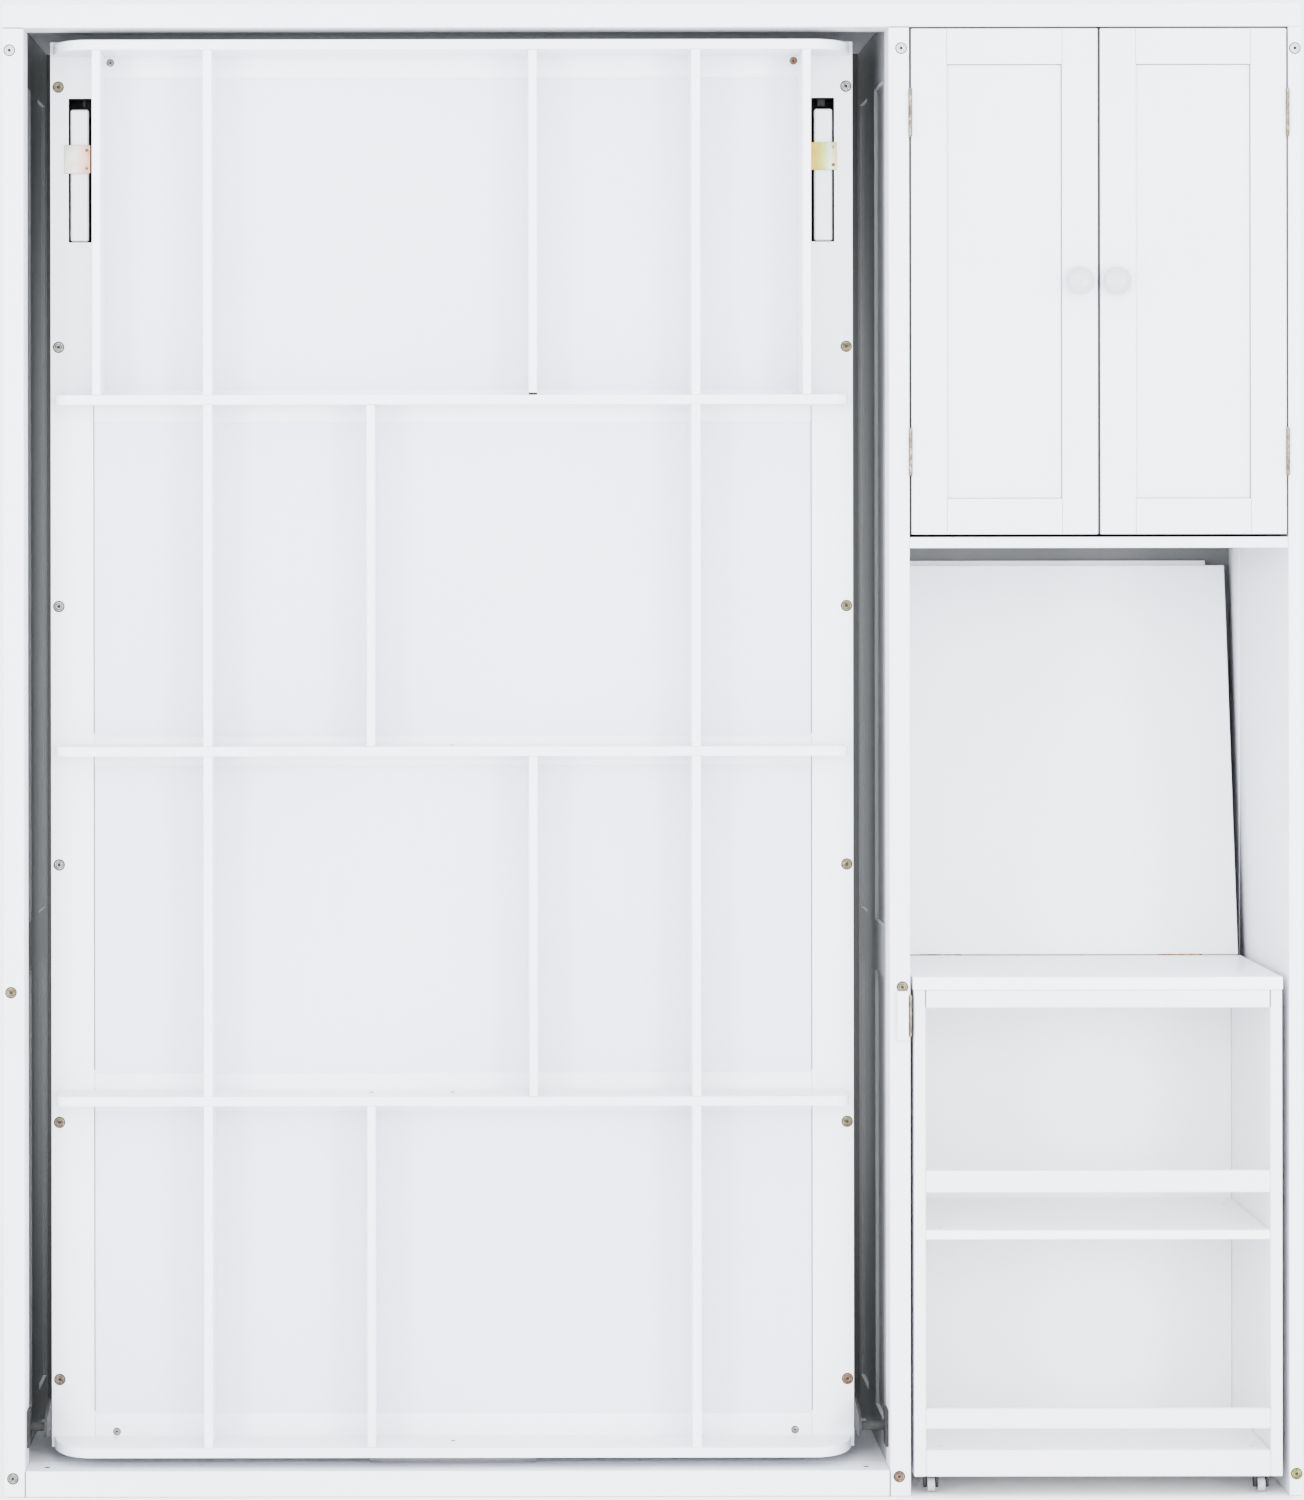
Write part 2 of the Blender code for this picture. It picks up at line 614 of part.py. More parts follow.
def desk_leaf(slide):
    """The desk leaf leans back from its hinge, and a batten stiffens its far end from behind."""
    hinge = empty_at("leaf_hinge", (sum(LEAF_X) / 2, at_depth(LEAF_AXIS_DEPTH), LEAF_AXIS_HEIGHT))
    hinge.rotation_euler = (-LEAF_LEAN, 0.0, 0.0)
    leaf = link("desk_leaf", box_mesh("desk_leaf", (LEAF_X[1] - LEAF_X[0], LEAF_THICK, LEAF_LENGTH)), PAINT)
    leaf.location = (0.0, LEAF_THICK / 2, LEAF_LENGTH / 2)
    length = BATTEN_SPAN[1] - BATTEN_SPAN[0]
    batten = link("leaf_batten", box_mesh("leaf_batten", (BATTEN_X[1] - BATTEN_X[0], BATTEN_THICK, length)), PAINT)
    batten.location = (0.0, LEAF_THICK + GAP + BATTEN_THICK / 2, sum(BATTEN_SPAN) / 2)
    for piece in (leaf, batten):
        chamfer(piece)
        piece.parent = hinge
    hang(slide, hinge)


def caster_places():
    """Name, X and depth of each caster's swivel axis."""
    places = []
    for side, x in zip(("left", "right"), CASTER_X):
        for row, depth in zip(("front", "rear"), CASTER_DEPTHS):
            places.append((f"{row}_{side}", x, depth))
    return places


def caster(name, x, depth, slide):
    """A swivel caster: flange, stem, bridge and two cheeks in one fork, with a turned wheel between them."""
    y = at_depth(depth)
    wheel_y = y - CASTER_TRAIL
    cheek = 0.0028
    inner = WHEEL_WIDTH / 2 + 0.0005
    outer = inner + cheek
    bridge = (0.0225, 0.0255)
    top = CART_FLOOR_TOP - CART_BOARD - GAP

    fork = cylinder(f"{name}_fork", 0.0050, top - bridge[0] - 0.0005, (0, 0, 1),
                    (x, y, (top + bridge[0] + 0.0005) / 2), BLACK, steps=24)
    flange = cylinder(f"{name}_flange", 0.0088, 0.0030, (0, 0, 1), (x, y, top - 0.0015), None, CUTTERS, 24)
    plate = link(f"{name}_bridge", box_mesh(f"{name}_bridge", (2 * outer, 0.022, bridge[1] - bridge[0])), None, CUTTERS)
    plate.location = (x, y - 0.004, sum(bridge) / 2)
    joined = [flange, plate]
    for side in (-1, 1):
        size = (cheek, 0.013, bridge[1] - 0.0070)
        side_plate = link(f"{name}_cheek_{side}", box_mesh(f"{name}_cheek", size), None, CUTTERS)
        side_plate.location = (x + side * (inner + outer) / 2, wheel_y, (bridge[1] + 0.0070) / 2 - 0.0002)
        joined.append(side_plate)
    for other in joined:
        hide_cutter(other)
        add_boolean(fork, other, "UNION")
    bore = cylinder(f"{name}_axle_bore", 0.0023, 0.04, (1, 0, 0), (x, wheel_y, WHEEL_HEIGHT), None, CUTTERS, 24)
    hide_cutter(bore)
    add_boolean(fork, bore, "DIFFERENCE")

    half = WHEEL_WIDTH / 2
    axle_end = outer - 0.0003
    profile = [(0.0, axle_end), (0.0020, axle_end), (0.0020, half), (WHEEL_RADIUS - 0.001, half),
               (WHEEL_RADIUS, half - 0.001), (WHEEL_RADIUS, 0.001 - half), (WHEEL_RADIUS - 0.001, -half),
               (0.0020, -half), (0.0020, -axle_end), (0.0, -axle_end)]
    wheel = turned(f"{name}_wheel", profile, (1, 0, 0), (x, wheel_y, WHEEL_HEIGHT), GREY, steps=24)
    swivel = empty_at(f"{name}_swivel", (x, y, 0.0))
    hang(swivel, fork, wheel)
    hang(slide, swivel)


def cart_stop():
    """The block on the middle post that turns over in front of the cart's side."""
    axis_depth = -GAP - STOP_THICK / 2
    block = board("cart_stop", STOP_X, (-GAP - STOP_THICK, -GAP), STOP_Z)
    hang(empty_at("cart_stop_hinge", (STOP_AXIS_X, at_depth(axis_depth), sum(STOP_Z) / 2)), block)


cabinet()
pivot_bracket("left_pivot_bracket", -HALF + POST_WIDTH + GAP, -1)
pivot_bracket("right_pivot_bracket", MID_POST_X - GAP, 1)
bed()
doors()
cart()
cart_stop()
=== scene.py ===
"""Looks of the wall bed: painted boards, hardware, floor and studio light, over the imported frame."""
import math

import bmesh
import bpy
from mathutils import Matrix, Vector


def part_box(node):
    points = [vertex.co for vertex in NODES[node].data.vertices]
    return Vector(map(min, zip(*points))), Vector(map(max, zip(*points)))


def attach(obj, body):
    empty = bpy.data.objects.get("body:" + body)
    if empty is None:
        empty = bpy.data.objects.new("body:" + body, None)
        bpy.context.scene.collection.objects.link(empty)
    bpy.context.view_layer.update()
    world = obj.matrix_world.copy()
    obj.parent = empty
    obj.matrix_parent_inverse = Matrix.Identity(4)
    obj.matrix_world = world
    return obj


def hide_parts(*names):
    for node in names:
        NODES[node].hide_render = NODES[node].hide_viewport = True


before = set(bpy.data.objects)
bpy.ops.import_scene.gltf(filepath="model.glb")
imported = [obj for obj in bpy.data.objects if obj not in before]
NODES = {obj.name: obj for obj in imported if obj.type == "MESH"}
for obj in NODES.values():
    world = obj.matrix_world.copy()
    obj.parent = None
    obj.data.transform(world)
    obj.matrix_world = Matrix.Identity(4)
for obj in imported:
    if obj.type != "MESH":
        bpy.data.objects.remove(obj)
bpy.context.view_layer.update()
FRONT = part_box("left_front_post")[0].y


def deep(depth):
    """World Y of a plane this far behind the posts' front face."""
    return FRONT + depth


# ---------------------------------------------------------------- sizes in metres
FORWARD = (0.0, -1.0, 0.0)
UPWARD = (0.0, 0.0, 1.0)
RIGHTWARD = (1.0, 0.0, 0.0)

BOLT_RADIUS = 0.0074
CORNER_BOLT_RADIUS = 0.0050
SCREW_RADIUS = 0.0030
PLATE_SCREW_RADIUS = 0.0026
DECK_HOLE_RADIUS = 0.0040

STRIP_THICK = 0.0016              # how far the frame strips stand proud of the bed's fields
SIDE_STRIP_LEFT = (-0.8514, -0.7903)
SIDE_STRIP_RIGHT = (0.2312, 0.2904)
CROSS_STRIPS = ((1.9975, 2.0415), (1.5068, 1.5530), (1.0188, 1.0600), (0.5270, 0.5810), (0.0508, 0.0960))

LEG_SLOT_MIDDLE = {"left": -0.8090, "right": 0.2480}
LEG_SLOT_HALF = 0.0165
LEG_SLOT_Z = (1.7634, 1.9683)
POCKET_WALL = 0.0004
POCKET_DEPTH = 0.1555             # clears the leg's heel as it swings
LEG_PLATE_GAP = 0.0020            # the straps' front face stands this far in front of the strips
LEG_PLATE_THICK = 0.0016
LEG_PLATE_X = {"left": (-0.8317, -0.7946), "right": (0.2312, 0.2682)}

DOOR_FRAME = 0.050                # width of the doors' frame round the field
DOOR_RECESS = 0.006
DOOR_HINGE_SPANS = ((1.9037, 1.9692), (1.4291, 1.4942))
DOOR_BARREL_RADIUS = 0.0025
LEAF_BARREL_RADIUS = 0.0014
STOP_BARREL_RADIUS = 0.0021
HINGE_KNUCKLES = 5
HINGE_CLEARANCE = 0.00015

LEAF_LEAN = math.radians(12.3)
LEAF_THICK = 0.015

CASTER_TRAIL = 0.008
CHEEK_TOP = 0.0253
LEFT_CHEEK = 0.0040
RIGHT_CHEEK = 0.0034
BRIDGE_Z = (0.0226, 0.0262)
WHEEL_HALF = 0.0054
AXLE_HALF = 0.0098

SEAM_PROUD = 0.00012
SEAM_SUNK = 0.0004
SEAM_WIDTH = 0.0008
SEAM_EASE = 0.00006
GAP_LINE = 0.0015                 # width of the dark lines of painted shade in the gaps round the doors


# ---------------------------------------------------------------- camera and light
def add_camera():
    """A long lens square to the front, its frame shifted rather than tilted, with a trace of roll."""
    roll = 0.0013
    camera = bpy.data.cameras.new("camera")
    camera.sensor_width = 36.0
    camera.lens = 114.9
    camera.shift_x = 0.1333
    camera.shift_y = -0.1347
    camera.clip_end = 100.0
    obj = bpy.data.objects.new("camera", camera)
    bpy.context.scene.collection.objects.link(obj)
    obj.location = (-0.2803, deep(-6.7), 1.3279)
    obj.rotation_euler = (math.radians(90), roll, 0.0)
    bpy.context.scene.camera = obj


LAMP_TINT = (0.965, 0.978, 1.0)


def area_light(name, location, target, size, power):
    """A rectangular lamp that points at target."""
    light = bpy.data.lights.new(name, "AREA")
    light.shape = "RECTANGLE"
    light.size, light.size_y = size
    light.energy = power
    light.color = LAMP_TINT
    obj = bpy.data.objects.new(name, light)
    bpy.context.scene.collection.objects.link(obj)
    obj.location = location
    obj.rotation_euler = (Vector(target) - Vector(location)).to_track_quat("-Z", "Z").to_euler()
    return obj


def add_lights():
    """A pale world, three softboxes in front, and a weak light for the shade inside the bed's bay."""
    world = bpy.data.worlds.new("studio")
    bpy.context.scene.world = world
    world.use_nodes = True
    background = world.node_tree.nodes["Background"]
    background.inputs["Color"].default_value = (0.955, 0.970, 1.0, 1.0)
    background.inputs["Strength"].default_value = 1.0
    middle = (-0.28, deep(0.1), 1.1)
    area_light("left_softbox", (-3.5, deep(-6.3), 1.45), middle, (0.9, 2.6), 60)
    area_light("right_softbox", (2.95, deep(-6.3), 1.45), middle, (0.9, 2.6), 60)
    area_light("front_softbox", (-0.1, deep(-8.6), 3.0), (0.0, 0.0, 1.0), (4.5, 2.6), 60)
    bay_fill = area_light("bay_fill", (-0.28, deep(0.25), 1.05), (-0.28, deep(0.5), 1.05), (0.9, 1.4), 3.0)
    bay_fill.visible_camera = False
    settings = bpy.context.scene.view_settings
    settings.view_transform = "AgX"
    settings.look = "AgX - Medium High Contrast"
    settings.exposure = 1.47


# ---------------------------------------------------------------- materials
class Surface:
    """A Principled material and short ways to feed it from procedural textures."""

    def __init__(self, name, roughness=0.4, metallic=0.0):
        self.material = bpy.data.materials.new(name)
        self.material.use_nodes = True
        self.tree = self.material.node_tree
        self.shader = self.tree.nodes["Principled BSDF"]
        self.shader.inputs["Roughness"].default_value = roughness
        self.shader.inputs["Metallic"].default_value = metallic
        self.place = self.tree.nodes.new("ShaderNodeTexCoord").outputs["Object"]

    def link(self, source, target):
        self.tree.links.new(source, target)

    def noise(self, scale, detail=3.0, stretch=(1.0, 1.0, 1.0), roughness=0.55):
        mapping = self.tree.nodes.new("ShaderNodeMapping")
        mapping.inputs["Scale"].default_value = stretch
        texture = self.tree.nodes.new("ShaderNodeTexNoise")
        texture.inputs["Scale"].default_value = scale
        texture.inputs["Detail"].default_value = detail
        texture.inputs["Roughness"].default_value = roughness
        self.link(self.place, mapping.inputs["Vector"])
        self.link(mapping.outputs["Vector"], texture.inputs["Vector"])
        return texture.outputs["Fac"]

    def ramp(self, value, stops):
        node = self.tree.nodes.new("ShaderNodeValToRGB")
        elements = node.color_ramp.elements
        while len(elements) < len(stops):
            elements.new(0.5)
        for element, (position, colour) in zip(elements, stops):
            element.position = position
            element.color = (*colour, 1.0)
        self.link(value, node.inputs["Fac"])
        return node.outputs["Color"]

    def span(self, value, low, high):
        """Stretch the middle of a noise value over low to high."""
        node = self.tree.nodes.new("ShaderNodeMapRange")
        node.inputs["From Min"].default_value = 0.3
        node.inputs["From Max"].default_value = 0.7
        node.inputs["To Min"].default_value = low
        node.inputs["To Max"].default_value = high
        self.link(value, node.inputs["Value"])
        return node.outputs["Result"]

    def multiply(self, first, second):
        node = self.tree.nodes.new("ShaderNodeMix")
        node.data_type = "RGBA"
        node.blend_type = "MULTIPLY"
        node.inputs["Factor"].default_value = 1.0
        self.link(first, node.inputs[6])
        self.link(second, node.inputs[7])
        return node.outputs[2]

    def by_side(self, value, side, tint):
        """Tint the faces whose own normal looks towards side (+1 or -1) along X, or to the front, as painted
        shade.
        """
        towards = self.tree.nodes.new("ShaderNodeVectorMath")
        towards.operation = "DOT_PRODUCT"
        towards.inputs[1].default_value = (side, -0.9, 0.0)
        self.link(self.tree.nodes["Texture Coordinate"].outputs["Normal"], towards.inputs[0])
        return self.multiply(value, self.ramp(towards.outputs["Value"], [(0.45, PLAIN), (0.50, tint)]))

    def colour(self, value):
        self.link(value, self.shader.inputs["Base Color"])

    def roughness(self, value):
        self.link(value, self.shader.inputs["Roughness"])

    def bumps(self, *layers):
        """Each layer is (height, distance in metres, strength)."""
        normal = None
        for height, distance, strength in layers:
            bump = self.tree.nodes.new("ShaderNodeBump")
            bump.inputs["Distance"].default_value = distance
            bump.inputs["Strength"].default_value = strength
            self.link(height, bump.inputs["Height"])
            if normal:
                self.link(normal, bump.inputs["Normal"])
            normal = bump.outputs["Normal"]
        self.link(normal, self.shader.inputs["Normal"])


# which way the paint's grain is drawn out
ALONG_X = (0.06, 1.0, 1.0)
ALONG_Z = (1.0, 1.0, 0.06)
EVEN = (1.0, 1.0, 1.0)

# colours; PLAIN leaves what it multiplies as it is
PLAIN = (1.0, 1.0, 1.0)
CABINET_WHITE = (0.845, 0.856, 0.890)
# painted shade: the grey taken by the inner faces of the bed bay's walls, for the shade in the narrow bay
BAY_PAINTED_SHADE = (0.38, 0.383, 0.371)


def paint(name, tone, grain, sheen=0.36, shaded_side=0):
    """Sprayed satin paint over board: faint tone drift, grain telling through, orange peel.

    The faces that look towards shaded_side along X, or to the front, are painted darker as the shade
    inside the bed's bay. On the walls of the bay these are the inner faces and the small steps in them.
    """
    surface = Surface(name)
    darker = tuple(value * 0.975 for value in tone)
    lighter = tuple(min(1.0, value * 1.012) for value in tone)
    drift = surface.ramp(surface.noise(2.1, detail=2.0), [(0.35, darker), (0.65, lighter)])
    grain_value = surface.noise(55.0, detail=5.0, stretch=grain, roughness=0.6)
    streaks = surface.ramp(grain_value, [(0.30, (0.988, 0.989, 0.991)), (0.62, PLAIN)])
    colour = surface.multiply(drift, streaks)
    if shaded_side:
        # painted shade: greys the faces that look towards shaded_side
        colour = surface.by_side(colour, shaded_side, BAY_PAINTED_SHADE)
    surface.colour(colour)
    surface.roughness(surface.span(surface.noise(7.0, 4.0), sheen - 0.05, sheen + 0.07))
    surface.bumps((grain_value, 0.0004, 0.05), (surface.noise(520.0, 2.0), 0.00025, 0.12))
    return surface.material


def plated(name, dark, middle, bright, roughness=0.3, scale=60.0):
    """Zinc plating: cloudy passivated colour with fine scratches."""
    surface = Surface(name, roughness, 1.0)
    clouds = surface.noise(scale, 4.0)
    surface.colour(surface.ramp(clouds, [(0.32, dark), (0.50, middle), (0.68, bright)]))
    scratches = surface.noise(900.0, 3.0, (1.0, 1.0, 0.05))
    surface.roughness(surface.span(scratches, roughness - 0.07, roughness + 0.12))
    surface.bumps((scratches, 0.0001, 0.2))
    return surface.material


def iridescent(name, low, high, stops, roughness=0.42):
    """Passivated zinc whose interference colour runs across the plate, from low to high along X."""
    surface = Surface(name, roughness, 0.6)
    place = surface.tree.nodes.new("ShaderNodeSeparateXYZ")
    surface.link(surface.place, place.inputs["Vector"])
    across = surface.tree.nodes.new("ShaderNodeMapRange")
    across.inputs["From Min"].default_value = low
    across.inputs["From Max"].default_value = high
    surface.link(place.outputs["X"], across.inputs["Value"])
    clouds = surface.ramp(surface.noise(60.0, 3.0), [(0.35, (0.90, 0.86, 0.84)), (0.65, PLAIN)])
    surface.colour(surface.multiply(surface.ramp(across.outputs["Result"], stops), clouds))
    surface.roughness(surface.span(surface.noise(300.0, 3.0), roughness - 0.07, roughness + 0.1))
    surface.bumps((surface.noise(700.0, 2.0), 0.0001, 0.2))
    return surface.material


def plastic(name, tone, roughness, grit):
    """Moulded or sprayed matt surface: fine specks over one tone, with a slight grit."""
    surface = Surface(name, roughness)
    speck = surface.noise(700.0, 3.0)
    pale = tuple(min(1.0, value * 1.35 + 0.01) for value in tone)
    surface.colour(surface.ramp(speck, [(0.35, tone), (0.75, pale)]))
    surface.roughness(surface.span(surface.noise(160.0, 3.0), roughness - 0.08, roughness + 0.1))
    surface.bumps((speck, 0.00015, grit))
    return surface.material


def shadow_gap(name):
    """The near-black of a hole's mouth."""
    surface = Surface(name, 0.9)
    stops = [(0.3, (0.008, 0.008, 0.009)), (0.7, (0.018, 0.018, 0.02))]
    surface.colour(surface.ramp(surface.noise(80.0), stops))
    surface.bumps((surface.noise(300.0), 0.0002, 0.2))
    return surface.material


CABINET_UP = paint("cabinet_paint_upright", CABINET_WHITE, ALONG_Z)
# the two walls of the bed's bay, with painted shade on their inner faces
LEFT_WALL = paint("left_wall_paint_and_painted_shade", CABINET_WHITE, ALONG_Z, shaded_side=1)
PARTITION = paint("partition_paint_and_painted_shade", CABINET_WHITE, ALONG_Z, shaded_side=-1)
CABINET_ACROSS = paint("cabinet_paint_across", CABINET_WHITE, ALONG_X)
# painted shade: the back board is a dark grey so that the back seen behind the bed and above the leaf looks
# shaded
BACK_BOARD_SHADE = paint("back_board_painted_shade", (0.155, 0.157, 0.153), ALONG_Z, sheen=0.5)
BED_FIELD = paint("bed_field_paint", (0.755, 0.778, 0.850), ALONG_Z, sheen=0.42)
BED_UP = paint("bed_paint_upright", (0.900, 0.908, 0.950), ALONG_Z)
BED_ACROSS = paint("bed_paint_across", (0.870, 0.880, 0.915), ALONG_X)
DOOR_PAINT = paint("door_paint", (0.822, 0.838, 0.900), ALONG_Z, sheen=0.33)
CART_UP = paint("cart_paint_upright", (0.850, 0.858, 0.880), ALONG_Z)
CART_ACROSS = paint("cart_paint_across", (0.855, 0.862, 0.884), ALONG_X)
# painted light: the inside of the cart is a lighter white than its sides, to make up for its shade
CART_INSIDE_PAINTED_LIGHT = paint("cart_inside_painted_light", (0.950, 0.953, 0.965), ALONG_X)
# painted light: the leaf, the cart's top and the batten are a lighter white than the cart's sides, to make up
# for the niche's shade
LEAF_PAINTED_LIGHT = paint("leaf_painted_light", (0.935, 0.940, 0.965), ALONG_Z)
KNOB_PAINT = paint("knob_paint", (0.55, 0.575, 0.60), EVEN, sheen=0.20)
HINGE_STEEL = plated("hinge_steel", (0.09, 0.075, 0.058), (0.20, 0.17, 0.14), (0.38, 0.35, 0.31), 0.38, 140.0)
BRASS = plated("yellow_zinc", (0.11, 0.09, 0.05), (0.23, 0.20, 0.12), (0.36, 0.33, 0.22), 0.42, 220.0)
RED_BRASS = plated("red_zinc", (0.14, 0.07, 0.05), (0.26, 0.15, 0.10), (0.40, 0.26, 0.19), 0.42, 220.0)
SILVER = plated("silver_zinc", (0.17, 0.165, 0.155), (0.31, 0.30, 0.285), (0.50, 0.49, 0.465), 0.40, 220.0)
OLIVE = plated("olive_zinc", (0.10, 0.10, 0.02), (0.24, 0.24, 0.06), (0.44, 0.44, 0.18), 0.42, 220.0)
RAINBOW = iridescent("iridescent_zinc", *LEG_PLATE_X["right"], [
    (0.04, (0.56, 0.40, 0.07)), (0.35, (0.42, 0.43, 0.09)), (0.55, (0.45, 0.52, 0.20)),
    (0.75, (0.48, 0.57, 0.48)), (0.95, (0.52, 0.45, 0.18))])
PEACH = iridescent("pale_zinc", *LEG_PLATE_X["left"], [
    (0.05, (0.50, 0.52, 0.44)), (0.40, (0.62, 0.61, 0.54)), (0.65, (0.66, 0.55, 0.44)),
    (0.90, (0.72, 0.46, 0.34))])
WHITE_CAP = plastic("white_cap", (0.62, 0.62, 0.63), 0.35, 0.1)
# painted shade: near-black for the gaps and hollows of the bolt and screw heads
RECESS_SHADE = plastic("bolt_recess_shade", (0.022, 0.018, 0.016), 0.6, 0.1)
HOLE = shadow_gap("hole_shadow")
# dark joint lines; the line across the leaf is a painted reflection of the cart's top
SEAM_AND_REFLECTION_LINE = plastic("seam_and_painted_reflection_line", (0.10, 0.10, 0.105), 0.7, 0.1)
# painted shade: the pivot brackets and arms are near-black so that they pass as the shade in the gaps beside
# the bed; the leg stops take the same dark steel
DARK_STEEL_AND_GAP_SHADE = plastic("dark_steel_and_painted_gap_shade", (0.026, 0.026, 0.026), 0.75, 0.2)
BLACK = plastic("black_nylon", (0.012, 0.012, 0.014), 0.5, 0.25)
# near-black: the lining of the leg pockets, and painted shade in the gaps round the doors and under the first
# divider
POCKET_AND_GAP_SHADE = plastic("pocket_lining_and_gap_shade", (0.018, 0.018, 0.019), 0.8, 0.2)
TREAD = plastic("grey_tread", (0.36, 0.37, 0.39), 0.62, 0.35)
HUB = plastic("wheel_hub", (0.05, 0.05, 0.055), 0.4, 0.15)


def paint_nodes():
    """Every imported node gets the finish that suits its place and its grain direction."""
    finishes = {
        CABINET_UP: ["left_front_post", "mid_front_post", "right_side_panel", "cart_stop"],
        BACK_BOARD_SHADE: ["back_panel"],
        LEFT_WALL: ["left_side_panel"],
        PARTITION: ["mid_partition"],
        CABINET_ACROSS: ["top_rail", "roof_panel", "base_rail", "base_deck", "cupboard_floor"],
        BED_FIELD: ["platform_panel"],
        BED_UP: ["left_side_rail", "right_side_rail", "long_rib_left", "long_rib_right", "short_rib_left",
                 "short_rib_right", "left_leg", "right_leg", *(f"divider_row_{row}" for row in range(1, 5))],
        BED_ACROSS: ["head_rail", "foot_rail", *(f"cross_rib_{rib}" for rib in range(1, 6))],
        DOOR_PAINT: ["left_door", "right_door"],
        KNOB_PAINT: ["left_knob", "right_knob"],
        CART_UP: ["cart_left_side", "cart_right_side"],
        CART_INSIDE_PAINTED_LIGHT: ["cart_back", "cart_shelf", "cart_floor"],
        CART_ACROSS: ["cart_apron", "shelf_fence", "floor_skirt", "floor_fence"],
        LEAF_PAINTED_LIGHT: ["cart_top", "desk_leaf", "leaf_batten"],
        DARK_STEEL_AND_GAP_SHADE: ["left_pivot_bracket", "right_pivot_bracket", "left_pivot_arm", "right_pivot_arm"],
        BLACK: [name for name in NODES if name.endswith("_fork")],
        TREAD: [name for name in NODES if name.endswith("_wheel")],
    }
    for material, names in finishes.items():
        for name in names:
            NODES[name].data.materials.clear()
            NODES[name].data.materials.append(material)


# ---------------------------------------------------------------- mesh helpers
def finish_piece(name, shape, materials, body, smooth=35):
    """Turn a bmesh into a piece that rides on a body."""
    bmesh.ops.recalc_face_normals(shape, faces=shape.faces)
    mesh = bpy.data.meshes.new(name)
    shape.to_mesh(mesh)
    shape.free()
    for material in materials if isinstance(materials, list) else [materials]:
        mesh.materials.append(material)
    mesh.shade_smooth()
    mesh.set_sharp_from_angle(angle=math.radians(smooth))
    obj = bpy.data.objects.new(name, mesh)
    bpy.context.scene.collection.objects.link(obj)
    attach(obj, body)
    return obj


def eased_box(shape, low, high, ease=0.0008, steps=2):
    """A box with rounded edges, added to the bmesh."""
    low, high = Vector(low), Vector(high)
    placed = Matrix.Translation((low + high) / 2) @ Matrix.Diagonal((*(high - low), 1.0))
    verts = bmesh.ops.create_cube(shape, size=1.0, matrix=placed)["verts"]
    edges = list(dict.fromkeys(edge for vert in verts for edge in vert.link_edges))
    bmesh.ops.bevel(shape, geom=edges, offset=ease, segments=steps, profile=0.5, affect="EDGES")


def rings(shape, profile, place, segments=48, marks=()):
    """A turned solid from (radius, height) pairs; a radius may be a function of the angle.

    Faces that start at a height index in marks, and the last cap, take the second material.
    """
    loops = []
    for radius, height in profile:
        loop = []
        for step in range(segments):
            angle = 2 * math.pi * step / segments
            reach = radius(angle) if callable(radius) else radius
            point = Vector((reach * math.cos(angle), reach * math.sin(angle), height))
            loop.append(shape.verts.new(place @ point))
        loops.append(loop)
    for index, (near, far) in enumerate(zip(loops, loops[1:])):
        for step in range(segments):
            following = (step + 1) % segments
            face = shape.faces.new((near[step], near[following], far[following], far[step]))
            face.material_index = 1 if index in marks else 0
    shape.faces.new(list(reversed(loops[0])))
    last = shape.faces.new(loops[-1])
    last.material_index = 1 if marks else 0


def facing(location, direction):
    """A placement whose local Z points along direction."""
    return Matrix.Translation(location) @ Vector(direction).to_track_quat("Z", "Y").to_matrix().to_4x4()


def hexagon(across):
    """Radius of a hexagonal socket by angle."""
    def radius(angle):
        return across / 2 / math.cos((angle % (math.pi / 3)) - math.pi / 6)
    return radius


# ---------------------------------------------------------------- fasteners
def socket_bolt(name, location, direction, radius, material, body):
    """A flat round bolt head in a shallow seat, with a rolled rim and a small hexagonal socket; the ring
    round the head, the groove in it and the socket are painted near-black as shade.
    """
    across = radius * 0.62
    profile = [(radius * 1.10, -0.0004), (radius * 1.10, 0.0002), (radius * 0.90, 0.0003),
               (radius * 0.89, 0.0009), (radius * 0.84, 0.0014), (radius * 0.66, 0.0015),
               (radius * 0.62, 0.0011), (radius * 0.56, 0.0011),
               (radius * 0.52, 0.0015), (across * 0.62, 0.0015), (hexagon(across), 0.0013),
               (hexagon(across), 0.0004)]
    shape = bmesh.new()
    rings(shape, profile, facing(location, direction), marks=(0, 1, 5, 6, 10))
    finish_piece(name, shape, [material, RECESS_SHADE], body)


def cross_screw(name, location, direction, radius, material, body):
    """A small countersunk screw head with a cross-shaped recess, painted near-black as shade."""
    def cross(angle):
        return radius * (0.16 + 0.36 * abs(math.cos(2 * angle)) ** 6)
    profile = [(radius * 0.9, -0.0003), (radius, 0.0002), (radius * 0.92, 0.0006), (radius * 0.6, 0.0008),
               (cross, 0.0008), (cross, 0.0001)]
    shape = bmesh.new()
    rings(shape, profile, facing(location, direction), segments=40, marks=(4,))
    finish_piece(name, shape, [material, RECESS_SHADE], body)


def drilled_hole(name, location, direction, radius, body):
    """A disc a hair above the board, painted near-black as the shade in a drilled hole's mouth."""
    shape = bmesh.new()
    profile = [(radius, -0.0003), (radius, 0.0001), (radius * 0.94, 0.00015)]
    rings(shape, profile, facing(location, direction), segments=32)
    finish_piece(name, shape, HOLE, body)


